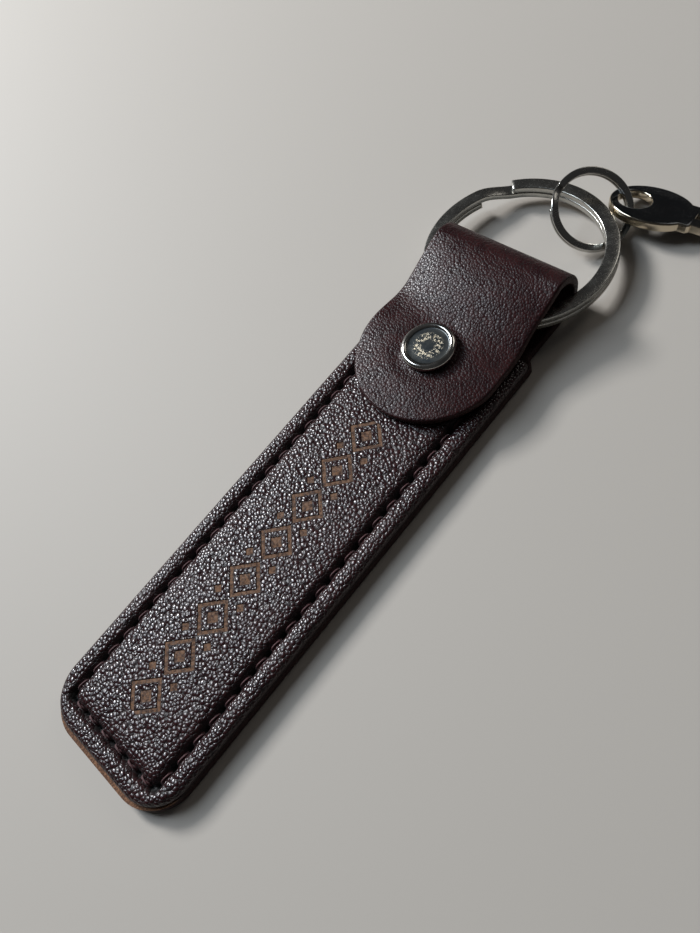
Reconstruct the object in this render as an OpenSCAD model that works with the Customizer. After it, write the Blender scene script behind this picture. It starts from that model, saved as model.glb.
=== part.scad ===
// Leather key fob: a padded, stitched body whose back strip loops through a
// split ring and snaps down on the front, with a second ring and a small key.
// Long axis along Y with the ring end at +Y, Z up, and the origin at the
// middle of the leather's flat back face.

/* [Leather body] */
// Length of the leather, from its rounded end to the outside of the fold
fob_len = 102; // [84:0.5:130]
// Width of the stitched body
body_w = 27; // [25:0.1:36]
// Radius of the two rounded corners
corner_r = 7; // [4:0.5:10]
// Thickness of the long leather strip: back, loop and flap
strip_t = 1.5; // [1.2:0.05:1.8]
// Thickness of the fibre board between the two leathers
board_t = 0.5; // [0.4:0.1:1]
// Thickness of the foam under the front leather
foam_t = 0.7; // [0.4:0.1:1.2]
// Thickness of the front leather
front_t = 1; // [0.8:0.1:1.4]
// Height by which the rim outside the stitching stands above the seam
rim_rise = 0.3; // [0.1:0.05:0.4]
// Distance from the front leather's top end to the big ring
panel_gap = 1; // [0.5:0.1:4]

/* [Stitching] */
// Distance from the body's long edges to the seam
seam_inset = 3.3; // [2.5:0.1:4.5]
// Distance from the rounded end to the seam
seam_end_inset = 4.2; // [3:0.1:6]
// Distance from the front leather's top end to the seam
seam_top_inset = 2; // [1.6:0.1:2.6]
// Distance between two stitches
stitch_pitch = 3.3; // [2.5:0.1:4.5]
// Length of one stitch that shows
stitch_len = 2.3; // [1.5:0.1:2.4]
// Diameter of the needle thread
thread_d = 0.6; // [0.4:0.05:0.7]
// Diameter of the bobbin thread
bobbin_d = 0.34; // [0.25:0.01:0.4]

/* [Loop and flap] */
// Height of the fold over the table
loop_h = 9.4; // [8.8:0.1:11.5]
// Distance from the outside of the fold to the snap's axis
snap_back = 22.8; // [22:0.2:30]
// Play between the strap's width and the ring's inside diameter
strap_play = 3.4; // [2.6:0.1:6]
// Extra half width of the flap's round end over the strap
flap_flare = 0.5; // [0:0.1:1.5]
// Gap under the flap's free end
flap_gap = 0.25; // [0.2:0.05:0.8]

/* [Snap] */
// Diameter of the cap
cap_d = 8.9; // [8.4:0.1:10]
// Height of the cap over the flap
cap_h = 1.4; // [1.2:0.1:2]
// Diameter of the socket
socket_d = 8.4; // [7:0.1:9]
// Height of the socket
socket_h = 1.45; // [1.4:0.05:2.2]
// Diameter of the stud's ball
stud_d = 4; // [3.6:0.1:4.2]
// Diameter of the holes that the posts pass through
post_d = 3; // [2.6:0.1:3.2]
// Diameter of the back rivet's flange
rivet_d = 9; // [8:0.1:10]
// Thickness of the flanges and of the socket's plate
sheet_t = 0.35; // [0.3:0.05:0.4]
// Clearance between pieces of the snap that part
snap_gap = 0.1; // [0.08:0.01:0.15]

/* [Big ring] */
// Outside diameter of the big split ring
ring_od = 32; // [26.5:0.1:34]
// Width of its flat wire, measured along the radius
ring_wire_w = 2.3; // [1.8:0.1:2.6]
// Thickness of one coil
ring_coil_t = 1.15; // [0.9:0.05:1.2]
// Sideways place of the ring in the loop
ring_dx = -0.6; // [-0.8:0.1:0.8]
// Height of the ring's centre
ring_z = 3.65; // [3.5:0.05:3.8]
// Slope of the ring, far end lower
ring_tilt = 3; // [2:0.5:3.5]
// Direction of the ring's two ends, from +Y towards -X
ring_split = 40; // [0:1:60]
// Angle between the two ends of the coil
ring_split_gap = 23; // [16:1:40]

/* [Small ring] */
// Outside diameter of the small split ring
small_od = 14; // [11.5:0.1:17]
// Width of its wire along the radius
small_wire_w = 1.2; // [1:0.1:1.3]
// Thickness of one of its coils
small_coil_t = 0.65; // [0.5:0.05:0.7]
// Lean of its face away from upright
small_lean = 57; // [52:1:60]
// Turn of its face about the vertical
small_turn = -16; // [-22:1:-10]
// Its place on the big ring, from +Y towards +X
hang_angle = 33; // [30:1:36]

/* [Key] */
// Length of the key's oval bow
bow_l = 14; // [12:0.5:18]
// Width of the bow
bow_w = 10.8; // [9:0.2:14]
// Thickness of the key
key_t = 1.6; // [1.4:0.1:1.8]
// Diameter of the hole in the bow
key_hole_d = 5.4; // [4.6:0.1:6.5]
// Width of the blade
blade_w = 5; // [4:0.1:6.5]
// Length of the blade past the shoulder
blade_l = 19; // [14:0.5:26]

/* [Hidden] */
$fn = 64;
eps = 0.01;

// heights of the layers
board_z = strip_t;
front_z = board_z + board_t;
seam_z = front_z + front_t - thread_d;
rim_z = front_z + front_t + rim_rise - thread_d / 2;
crown_z = front_z + foam_t + front_t;

// the fold, and the places along the strip
end_y = -fob_len / 2;
fold_y = fob_len / 2;
fold_r = loop_h / 2;
fold_cy = fold_y - fold_r;
snap_y = fold_y - snap_back;

// the big ring sits in the loop with its inside clear of the strap's edges
ring_r = (ring_od - ring_wire_w) / 2;
ring_id = ring_od - 2 * ring_wire_w;
strap_w = ring_id - strap_play;
strap_side_gap = 0.75;
ring_y = fold_y - strip_t
       + sqrt(pow(ring_id / 2, 2) - pow(strap_w / 2 + abs(ring_dx) + strap_side_gap, 2));
panel_y = ring_y - ring_od / 2 - panel_gap;

// the flap
flap_r = strap_w / 2 + flap_flare;
flap_end_h = crown_z + flap_gap + strip_t;

// clearances and small details
board_inset = 0.1;
groove_w = 0.9;
groove_side = 0.15;
thread_rise = 0.02;
bobbin_rise = 0.05;
foam_inset = 1.3;
foam_gap = 0.02;
seat_d = socket_d + 0.6;
seat_z = front_z + front_t;
stud_h = 1.2;
stud_neck = 0.35;
stud_ball_z = 0.75;
socket_low = seat_z + sheet_t + snap_gap;
socket_top = socket_low + socket_h;
flap_h = socket_top + strip_t;
socket_lip = 0.2;
socket_mouth = 0.3;
seat_wall = 1;
spring_d = 0.5;
spring_open = 50;
cap_dish = 0.3;
cap_post = strip_t + sheet_t + 0.2;
fold_split = 0.02;
seam_corner_r = 1.5;
slope_y = snap_y + cap_d / 2 + 0.15;
hang_slack = 1.5;
small_split = 200;
small_gap = 34;
key_spread = 46.6;
key_slack = 1.8;
key_wall = 1.35;
key_roll = 17.5;
key_yaw = 6;
shoulder_l = 1.8;
shoulder_w = 6.4;
key_cuts = [1.2, 1.8, 1, 1.6];
flap_steps = 40;
table_gap = 0.03;

// the small ring stands on the table, leans back and hangs round the big wire
small_r = (small_od - small_wire_w) / 2;
small_n = [cos(small_lean) * cos(small_turn), cos(small_lean) * sin(small_turn), sin(small_lean)];
small_u = [sin(small_turn), -cos(small_turn), 0];
small_w = cross(small_n, small_u);
function on_small(angle, radius) = radius * (cos(angle) * small_u + sin(angle) * small_w);
big_wire = [ring_dx + ring_r * sin(hang_angle),
            ring_y + ring_r * cos(hang_angle) * cos(ring_tilt),
            ring_z - ring_r * cos(hang_angle) * sin(ring_tilt)];
hang_r = small_r - small_wire_w / 2 - sqrt(pow(ring_wire_w / 2, 2) + pow(ring_coil_t, 2)) - hang_slack;
small_z = small_od / 2 * cos(small_lean) + small_coil_t * sin(small_lean) + table_gap;
hang_at = 180 - asin(min(1, (small_z - big_wire[2]) / (hang_r * cos(small_lean))));
small_flat = big_wire - on_small(hang_at, hang_r);
small_c = [small_flat[0], small_flat[1], small_z];

// the key hangs in the small ring's lowest quarter, its blade down on the table
key_bow_x = bow_l / 2 - key_wall - key_hole_d / 2;
key_blade_x = key_bow_x + bow_l / 2 - 1.5;
key_tip_x = key_blade_x + shoulder_l + blade_l;
key_p = small_c + on_small(hang_at + key_spread, small_r + key_hole_d / 2 - key_slack);
key_slope = asin((key_p[2] - table_gap - key_t / 2 * cos(key_roll) - blade_w / 2 * sin(key_roll))
                 / (key_tip_x - blade_w / 3));

module body_outline(inset = 0, end_inset = 0, top_inset = 0, r = corner_r) {
    w = body_w - 2 * inset;
    y0 = end_y + end_inset;
    for (s = [-1, 1]) translate([s * (w / 2 - r), y0 + r]) circle(r);
    translate([-(w / 2 - r), y0]) square([w - 2 * r, 2 * r]);
    translate([-w / 2, y0 + r]) square([w, panel_y - top_inset - y0 - r]);
}

// outline of the seam, moved inwards
module seam_outline(inset) {
    body_outline(seam_inset + inset, seam_end_inset + inset, seam_top_inset + inset,
                 seam_corner_r - inset / 2);
}

// band that follows the seam, as wide as the thread's groove
module seam_band(width) {
    difference() {
        seam_outline(-width / 2);
        seam_outline(width / 2);
    }
}

// one row of stitches between two points, spaced evenly with no half stitch
module stitch_row(from, to, d) {
    span = to - from;
    run = norm(span);
    count = max(1, round(run / stitch_pitch));
    step = run / count;
    long = min(stitch_len, step - 2 * d);
    for (i = [0:count - 1])
        translate([each (from + span * ((i + 0.5) / count)), 0])
            rotate([90, 0, atan2(span[1], span[0]) + 90])
                cylinder(h = long, d = d, center = true, $fn = 16);
}

// the seam runs along both edges, across the round end and across the top
module stitches(d) {
    x = body_w / 2 - seam_inset;
    low = end_y + seam_end_inset;
    top = panel_y - seam_top_inset;
    for (s = [-1, 1]) stitch_row([s * x, low + d], [s * x, top - d], d);
    for (y = [low, top]) stitch_row([-x + d, y], [x - d, y], d);
}

// outline of the strip's flat part: the body, then the narrower strap
module strip_outline() {
    neck = (body_w - strap_w) / 2;
    body_outline();
    polygon([[-body_w / 2, panel_y - seam_top_inset], [body_w / 2, panel_y - seam_top_inset],
             [body_w / 2, panel_y], [strap_w / 2, panel_y + neck],
             [strap_w / 2, fold_cy], [-strap_w / 2, fold_cy],
             [-strap_w / 2, panel_y + neck], [-body_w / 2, panel_y]]);
}

// a Y-Z profile drawn out along X to a width
module across(width) {
    rotate([90, 0, 90]) linear_extrude(width, center = true) children();
}

// half of the fold's cross-section: side -1 is the lower half, +1 the upper
module fold_half(side) {
    translate([fold_cy, fold_r]) intersection() {
        difference() {
            circle(fold_r);
            circle(fold_r - strip_t);
        }
        translate([0, side > 0 ? fold_split : -fold_r])
            square([fold_r, fold_r - fold_split]);
    }
}

module back_leather() color("#4a2a26") difference() {
    union() {
        linear_extrude(strip_t) strip_outline();
        across(strap_w) fold_half(-1);
    }
    translate([0, 0, -eps]) linear_extrude(bobbin_d + bobbin_rise + eps)
        seam_band(bobbin_d + 2 * groove_side);
    translate([0, snap_y, -eps]) cylinder(h = sheet_t + eps, d = rivet_d + 2 * snap_gap);
    translate([0, snap_y, -eps]) cylinder(h = strip_t + 2 * eps, d = post_d);
}

module fibre_board() color("#9a6a45") difference() {
    translate([0, 0, board_z]) linear_extrude(board_t)
        body_outline(board_inset, board_inset, board_inset, corner_r - board_inset);
    translate([0, snap_y, board_z - eps]) cylinder(h = board_t + 2 * eps, d = post_d);
}

// the foam stops short of the seam and leaves the snap's seat free
module foam_pad() color("#c9c2b2") difference() {
    translate([0, 0, front_z]) linear_extrude(foam_t)
        seam_outline(foam_inset);
    translate([0, snap_y, front_z - eps]) cylinder(h = foam_t + 2 * eps, d = seat_d + 2 * seat_wall);
}

module front_leather() color("#3b1f1f") difference() {
    union() {
        translate([0, 0, front_z]) linear_extrude(front_t + rim_rise) body_outline();
        translate([0, 0, front_z]) linear_extrude(crown_z - front_z)
            seam_outline(groove_w);
    }
    difference() {
        translate([0, 0, front_z - eps]) linear_extrude(foam_t + eps)
            seam_outline(foam_inset - foam_gap);
        translate([0, snap_y, front_z - 2 * eps])
            cylinder(h = foam_t + 3 * eps, d = seat_d + 2 * seat_wall - foam_gap);
    }
    translate([0, 0, seam_z]) linear_extrude(foam_t + front_t) seam_band(groove_w);
    translate([0, snap_y, front_z + front_t]) cylinder(h = foam_t + eps, d = seat_d);
    translate([0, snap_y, front_z - eps]) cylinder(h = front_t + 2 * eps, d = post_d);
}

module needle_stitches() color("#5d2226")
    translate([0, 0, seam_z + thread_d / 2 + thread_rise]) stitches(thread_d);

module bobbin_stitches() color("#5d2226")
    translate([0, 0, bobbin_rise + bobbin_d / 2]) stitches(bobbin_d);

// the flap's cross-section falls from the fold to the snap, then to its free end
function ease(t) = t * t * (3 - 2 * t);
function slope_bow(t) = t * (1.25 - 0.25 * t);
function flap_top(y) =
    y > slope_y ? flap_h + (loop_h - flap_h) * slope_bow((y - slope_y) / (fold_cy - slope_y))
    : y > snap_y - socket_d / 2 ? flap_h
    : flap_h - (flap_h - flap_end_h)
      * ease((snap_y - socket_d / 2 - y) / (flap_r - socket_d / 2));

module flap_profile() {
    y0 = snap_y - flap_r;
    ys = [for (i = [0:flap_steps]) y0 + (fold_cy - y0) * i / flap_steps];
    polygon(concat([for (y = ys) [y, flap_top(y)]],
                   [for (i = [flap_steps:-1:0]) [ys[i], flap_top(ys[i]) - strip_t]]));
}

module flap_outline() {
    flare_y = snap_y + flap_r;
    translate([0, snap_y]) circle(flap_r);
    polygon([[-flap_r, snap_y], [flap_r, snap_y], [strap_w / 2, flare_y],
             [strap_w / 2, fold_y + 1], [-strap_w / 2, fold_y + 1], [-strap_w / 2, flare_y]]);
}

module flap_leather() color("#45262a") difference() {
    union() {
        intersection() {
            across(2 * flap_r + 2) flap_profile();
            linear_extrude(loop_h + 1) flap_outline();
        }
        across(strap_w) fold_half(1);
    }
    translate([0, snap_y, 0]) cylinder(h = loop_h, d = post_d);
}

// back rivet: a flange let into the back and a barrel up to the stud
module back_rivet() color("#a9a7a0") translate([0, snap_y, 0]) {
    cylinder(h = sheet_t, d = rivet_d);
    cylinder(h = seat_z, d = post_d - 2 * snap_gap);
}

module snap_stud() color("#b9b7b0") translate([0, snap_y, seat_z]) rotate_extrude()
    polygon([[0, 0], [seat_d / 2 - 1, 0], [seat_d / 2 - 1, sheet_t],
             [stud_d / 2 - stud_neck, sheet_t], [stud_d / 2 - stud_neck, stud_ball_z - 0.25],
             [stud_d / 2, stud_ball_z], [stud_d / 2, stud_ball_z + 0.2],
             [stud_d / 2 - stud_neck, stud_h], [0, stud_h]]);

// socket: plate under the flap, a wall round it and a lip that keeps the spring in
module snap_socket() color("#b9b7b0") translate([0, snap_y, 0]) rotate_extrude()
    polygon([[post_d / 2, socket_top - sheet_t], [post_d / 2, socket_top],
             [socket_d / 2, socket_top], [socket_d / 2, socket_low],
             [stud_d / 2 + socket_mouth, socket_low],
             [stud_d / 2 + socket_mouth, socket_low + socket_lip],
             [socket_d / 2 - sheet_t, socket_low + socket_lip],
             [socket_d / 2 - sheet_t, socket_top - sheet_t]]);

// spring: a wire ring, open on one side, that grips the stud under its ball
module socket_spring() color("#8f8f8a")
    translate([0, snap_y, socket_low + socket_lip + snap_gap / 2 + spring_d / 2])
        rotate([0, 0, 90 + spring_open / 2]) rotate_extrude(angle = 360 - spring_open)
            translate([stud_d / 2 + snap_gap + spring_d / 2, 0]) circle(d = spring_d, $fn = 24);

// cap: a rolled rim round a shallow dish, and the post riveted in the socket
module snap_cap() color("#cfcfc8") translate([0, snap_y, flap_h]) {
    roll = cap_h * 0.45;
    rotate_extrude() {
        translate([cap_d / 2 - roll, cap_h - roll]) circle(roll, $fn = 32);
        translate([cap_d / 2 - roll, roll]) circle(roll, $fn = 32);
        square([cap_d / 2 - roll, cap_h - cap_dish]);
        translate([0, roll]) square([cap_d / 2, cap_h - 2 * roll]);
    }
    translate([0, 0, -cap_post]) cylinder(h = cap_post + eps, d = post_d - 2 * snap_gap);
    translate([0, 0, -cap_post]) cylinder(h = cap_post - strip_t - sheet_t, d = post_d + 0.8);
}

// split ring: two turns of flat wire pressed together, lying in the X-Y plane.
// The turns end side by side, and one slanting stretch joins them.
module split_ring(od, wire_w, coil_t, split, gap) {
    r = od / 2;
    bevel = 0.14 * coil_t;
    reach = r * sin(gap / 2) + 0.5;
    near = (r - wire_w) * sin(gap / 2) - 0.1;
    rotate([0, 0, 90 + split + gap]) rotate_extrude(angle = 360 - gap, $fn = 96)
        for (side = [-1, 1]) scale([1, side]) polygon([
            [r - wire_w, bevel], [r - wire_w + bevel, 0], [r - bevel, 0], [r, bevel],
            [r, coil_t - bevel], [r - bevel, coil_t], [r - wire_w + bevel, coil_t],
            [r - wire_w, coil_t - bevel]]);
    intersection() {
        rotate_extrude($fn = 96) translate([r - wire_w + 1.6 * bevel, -coil_t])
            square([wire_w - 3.2 * bevel, 2 * coil_t]);
        rotate([0, 0, 90 + split + gap / 2]) rotate([90, 0, 90]) linear_extrude(r + 1)
            polygon([[-reach, -coil_t], [-near, -coil_t], [near, 0], [reach, 0],
                     [reach, coil_t], [near, coil_t], [-near, 0], [-reach, 0]]);
    }
}

module big_split_ring() color("#9d9d98")
    translate([ring_dx, ring_y, ring_z]) rotate([-ring_tilt, 0, 0])
        split_ring(ring_od, ring_wire_w, ring_coil_t, ring_split, ring_split_gap);

module small_split_ring() color("#a3a39d")
    multmatrix([[small_u[0], small_w[0], small_n[0], small_c[0]],
                [small_u[1], small_w[1], small_n[1], small_c[1]],
                [small_u[2], small_w[2], small_n[2], small_c[2]],
                [0, 0, 0, 1]])
        split_ring(small_od, small_wire_w, small_coil_t, small_split, small_gap);

// key, drawn flat with its hole at the origin and its blade along +X
module key_outline() {
    translate([key_bow_x, 0])
        polygon([for (i = [0:71]) [bow_l / 2 * cos(i * 5), bow_w / 2 * sin(i * 5)]]);
    translate([key_blade_x, -shoulder_w / 2]) square([shoulder_l, shoulder_w]);
    polygon([[key_blade_x, -blade_w / 2], [key_tip_x - blade_w / 3, -blade_w / 2],
             [key_tip_x, -blade_w / 6], [key_tip_x, blade_w / 6],
             [key_tip_x - blade_w / 3, blade_w / 2], [key_blade_x, blade_w / 2]]);
}

module key_flat() {
    start = key_blade_x + shoulder_l;
    difference() {
        translate([0, 0, -key_t / 2]) linear_extrude(key_t) key_outline();
        cylinder(h = key_t + 1, d = key_hole_d, center = true);
        for (s = [-1, 1])
            translate([start, (s > 0 ? -0.1 : -0.3) * blade_w, s * 0.5 * key_t - 0.2 * key_t])
                cube([blade_l + 1, 0.3 * blade_w, 0.4 * key_t]);
        for (i = [0:len(key_cuts) - 1])
            translate([start + blade_l * (0.2 + 0.17 * i), -blade_w / 2, 0]) rotate([0, 0, 45])
                cube([key_cuts[i], key_cuts[i], key_t + 1], center = true);
    }
}

module key() color("#8c8b84")
    translate(key_p) rotate([-key_roll, key_slope, key_yaw]) key_flat();

back_leather();
fibre_board();
foam_pad();
front_leather();
needle_stitches();
bobbin_stitches();
back_rivet();
snap_stud();
flap_leather();
snap_cap();
snap_socket();
socket_spring();
big_split_ring();
small_split_ring();
key();
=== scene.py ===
import bpy
import bmesh
import math
from mathutils import Matrix, Vector, noise


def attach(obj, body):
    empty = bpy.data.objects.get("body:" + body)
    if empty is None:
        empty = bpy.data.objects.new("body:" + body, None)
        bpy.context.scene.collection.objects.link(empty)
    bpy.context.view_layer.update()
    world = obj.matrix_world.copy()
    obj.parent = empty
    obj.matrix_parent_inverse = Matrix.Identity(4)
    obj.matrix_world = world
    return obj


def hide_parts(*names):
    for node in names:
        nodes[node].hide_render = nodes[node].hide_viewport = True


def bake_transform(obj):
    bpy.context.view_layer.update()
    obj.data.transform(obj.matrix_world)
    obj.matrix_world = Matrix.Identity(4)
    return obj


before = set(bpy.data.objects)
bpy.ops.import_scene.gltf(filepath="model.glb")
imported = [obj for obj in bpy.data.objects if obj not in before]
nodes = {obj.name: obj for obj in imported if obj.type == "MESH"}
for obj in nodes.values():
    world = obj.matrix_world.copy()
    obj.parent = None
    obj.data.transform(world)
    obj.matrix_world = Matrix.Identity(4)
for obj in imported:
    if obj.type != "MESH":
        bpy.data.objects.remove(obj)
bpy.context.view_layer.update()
mm = 0.001          # settings are in millimetres, meshes in metres


def mix(a, b, t):
    return a + (b - a) * t


def soft(t):
    t = min(1.0, max(0.0, t))
    return t * t * (3 - 2 * t)


def smoothThrough(points):
    # smooth curve through (place, height) pairs, without overshoot
    xs = [p[0] for p in points]
    ys = [p[1] for p in points]
    n = len(xs)
    step = [(ys[i + 1] - ys[i]) / (xs[i + 1] - xs[i]) for i in range(n - 1)]
    slope = [step[0]] + [0.0] * (n - 2) + [step[-1]]
    for i in range(1, n - 1):
        if step[i - 1] * step[i] > 0:
            slope[i] = 2 * step[i - 1] * step[i] / (step[i - 1] + step[i])

    def at(x):
        if x <= xs[0]:
            return ys[0]
        if x >= xs[-1]:
            return ys[-1]
        i = max(k for k in range(n - 1) if xs[k] <= x)
        w = xs[i + 1] - xs[i]
        t = (x - xs[i]) / w
        return ((2 * t ** 3 - 3 * t ** 2 + 1) * ys[i] + (t ** 3 - 2 * t ** 2 + t) * w * slope[i]
                + (3 * t ** 2 - 2 * t ** 3) * ys[i + 1] + (t ** 3 - t ** 2) * w * slope[i + 1])
    return at


def buildMesh(name, points, faces, material, attributes=None):
    mesh = bpy.data.meshes.new(name)
    mesh.from_pydata([(p[0] * mm, p[1] * mm, p[2] * mm) for p in points], [], faces)
    mesh.update()
    for label, values in (attributes or {}).items():
        if isinstance(values[0], (tuple, list)):
            layer = mesh.attributes.new(label, "FLOAT_VECTOR", "POINT")
            layer.data.foreach_set("vector", [c for v in values for c in v])
        else:
            layer = mesh.attributes.new(label, "FLOAT", "POINT")
            layer.data.foreach_set("value", values)
    mesh.polygons.foreach_set("use_smooth", [True] * len(mesh.polygons))
    mesh.materials.append(material)
    obj = bpy.data.objects.new(name, mesh)
    bpy.context.scene.collection.objects.link(obj)
    return obj


def faceOutwards(obj, weld=0.000001, added=None):
    # joins doubled points, and with added another mesh, then turns all faces out
    bm = bmesh.new()
    bm.from_mesh(obj.data)
    if added:
        bm.from_mesh(added)
    bmesh.ops.remove_doubles(bm, verts=bm.verts, dist=weld)
    bmesh.ops.recalc_face_normals(bm, faces=bm.faces)
    bm.to_mesh(obj.data)
    bm.free()
    obj.data.update()
    return obj


def resample(path, count):
    # count + 1 points evenly along a polyline
    lengths = [0.0]
    for a, b in zip(path, path[1:]):
        lengths.append(lengths[-1] + math.dist(a, b))
    out, k = [], 0
    for i in range(count + 1):
        target = lengths[-1] * i / count
        while k < len(path) - 2 and lengths[k + 1] < target:
            k += 1
        span = lengths[k + 1] - lengths[k] or 1.0
        t = min(1.0, max(0.0, (target - lengths[k]) / span))
        out.append(tuple(mix(a, b, t) for a, b in zip(path[k], path[k + 1])))
    return out


def coonsGrid(low, high, left, right):
    # fills the space between four edges; low and high run left to right
    nu, nv = len(low) - 1, len(left) - 1
    grid = []
    for j in range(nv + 1):
        v = j / nv
        row = []
        for i in range(nu + 1):
            u = i / nu
            row.append(tuple(
                mix(low[i][c], high[i][c], v) + mix(left[j][c], right[j][c], u)
                - mix(mix(low[0][c], low[-1][c], u), mix(high[0][c], high[-1][c], u), v)
                for c in (0, 1)))
        grid.append(row)
    return grid


def gridFaces(first, start, nu, nv):
    # faces of a filled grid: border points run round from first, inner points follow start
    def indexOf(i, j):
        if j == 0:
            return first + i
        if i == nu:
            return first + nu + j
        if j == nv:
            return first + nu + nv + (nu - i)
        if i == 0:
            return first + 2 * nu + nv + (nv - j)
        return start + (j - 1) * (nu - 1) + (i - 1)
    return [(indexOf(i, j), indexOf(i + 1, j), indexOf(i + 1, j + 1), indexOf(i, j + 1))
            for j in range(nv) for i in range(nu)]


def sweepFaces(rows, sides):
    # a closed bar: rows of points with sides points each, and a cap at both ends
    faces = []
    for j in range(0, (rows - 1) * sides, sides):
        for i in range(sides):
            k = (i + 1) % sides
            faces.append((j + i, j + k, j + sides + k, j + sides + i))
    return faces + [tuple(range(sides)), tuple(reversed(range((rows - 1) * sides, rows * sides)))]


def onArc(x, y, radius, degrees):
    a = math.radians(degrees)
    return (x + radius * math.cos(a), y + radius * math.sin(a))


viewSet = {
    "place": (56.92, -15.84, 104.56),
    "right": (0.72692, 0.63392, -0.26407),
    "up": (-0.49608, 0.75065, 0.43639),
    "back": (0.47486, -0.18622, 0.86014),
    "lens": 29.33,
    "clip": (0.005, 20),
}
lightSet = {
    "lamps": {
        "window": {"place": (-800, 20, 560), "size": (210, 210), "power": 9.2, "color": (0.97, 0.985, 1.0)},
        "sheen": {"place": (-520, -130, 640), "size": (260, 420), "power": 3.4, "color": (0.78, 0.89, 1.0)},
        "far": {"place": (60, 620, 420), "size": (240, 300), "power": 0.35, "color": (1.0, 0.96, 0.90)},
    },
    "sky": (0.68, 0.68, 0.70), "skyPower": 0.05, "backdrop": 0.75,
}


def makeCamera():
    data = bpy.data.cameras.new("viewCamera")
    data.lens = viewSet["lens"]
    data.sensor_width = 36
    data.clip_start, data.clip_end = viewSet["clip"]
    camera = bpy.data.objects.new("viewCamera", data)
    bpy.context.scene.collection.objects.link(camera)
    turn = Matrix((viewSet["right"], viewSet["up"], viewSet["back"])).transposed().to_4x4()
    camera.matrix_world = Matrix.Translation(Vector(viewSet["place"]) * mm) @ turn
    bpy.context.scene.camera = camera


def makeLights():
    for name, one in lightSet["lamps"].items():
        data = bpy.data.lights.new(name, "AREA")
        data.shape = "RECTANGLE"
        data.size, data.size_y = one["size"][0] * mm, one["size"][1] * mm
        data.energy = one["power"]
        data.color = one["color"]
        lamp = bpy.data.objects.new(name, data)
        place = Vector(one["place"]) * mm
        lamp.location = place
        lamp.rotation_euler = (-place).to_track_quat("-Z", "Y").to_euler()
        bpy.context.scene.collection.objects.link(lamp)
    world = bpy.data.worlds.new("softSky")
    world.use_nodes = True
    tree = world.node_tree
    # the sky lights the set dimly, and stands behind it as a pale backdrop
    background = tree.nodes["Background"]
    seen = addNode(tree, "ShaderNodeLightPath").outputs["Is Camera Ray"]
    dim, pale = lightSet["skyPower"], lightSet["backdrop"]
    power = calc(tree, "MULTIPLY_ADD", seen, pale - dim, dim)
    setInputs(tree, background, {"Color": lightSet["sky"], "Strength": power})
    bpy.context.scene.world = world
    bpy.context.scene.view_settings.view_transform = "Standard"


def setInputs(tree, node, values):
    # each value is a link, a plain value, or a colour without its alpha
    for key, value in values.items():
        socket = node.inputs[key]
        if isinstance(value, bpy.types.NodeSocket):
            tree.links.new(value, socket)
        elif socket.type == "RGBA" and len(value) == 3:
            socket.default_value = (*value, 1)
        else:
            socket.default_value = value


def addNode(tree, kind, values=None, **props):
    node = tree.nodes.new(kind)
    for key, value in props.items():
        setattr(node, key, value)
    setInputs(tree, node, values or {})
    return node


def calc(tree, operation, a, b=None, c=None, clamp=False):
    values = {0: a}
    if b is not None:
        values[1] = b
    if c is not None:
        values[2] = c
    return addNode(tree, "ShaderNodeMath", values, operation=operation, use_clamp=clamp).outputs[0]


def times(tree, a, b, clamp=False):
    return calc(tree, "MULTIPLY", a, b, clamp=clamp)


def plus(tree, a, b, clamp=False):
    return calc(tree, "ADD", a, b, clamp=clamp)


def minus(tree, a, b):
    return calc(tree, "SUBTRACT", a, b)


def spread(tree, value, low, high):
    # smooth step, 0 at low and 1 at high
    node = addNode(tree, "ShaderNodeMapRange", {"Value": value, "From Min": low, "From Max": high},
                   interpolation_type="SMOOTHSTEP")
    return node.outputs["Result"]


def mixColor(tree, factor, a, b):
    # sockets 6 and 7 are the two colours of a colour mix, and output 2 is its result
    return addNode(tree, "ShaderNodeMix", {0: factor, 6: a, 7: b}, data_type="RGBA").outputs[2]


def grainNoise(tree, vector, scale, detail=2.0, roughness=0.5):
    values = {"Vector": vector, "Scale": scale, "Detail": detail, "Roughness": roughness}
    return addNode(tree, "ShaderNodeTexNoise", values).outputs["Fac"]


def newGroup(name, inputs, outputs):
    # an input without a value is a vector, and everything else is a number
    tree = bpy.data.node_groups.new(name, "ShaderNodeTree")
    for label, value in inputs.items():
        kind = "NodeSocketVector" if value is None else "NodeSocketFloat"
        socket = tree.interface.new_socket(label, in_out="INPUT", socket_type=kind)
        if value is not None:
            socket.default_value = value
    for label in outputs:
        tree.interface.new_socket(label, in_out="OUTPUT", socket_type="NodeSocketFloat")
    return tree, tree.nodes.new("NodeGroupInput").outputs, tree.nodes.new("NodeGroupOutput").inputs


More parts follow.
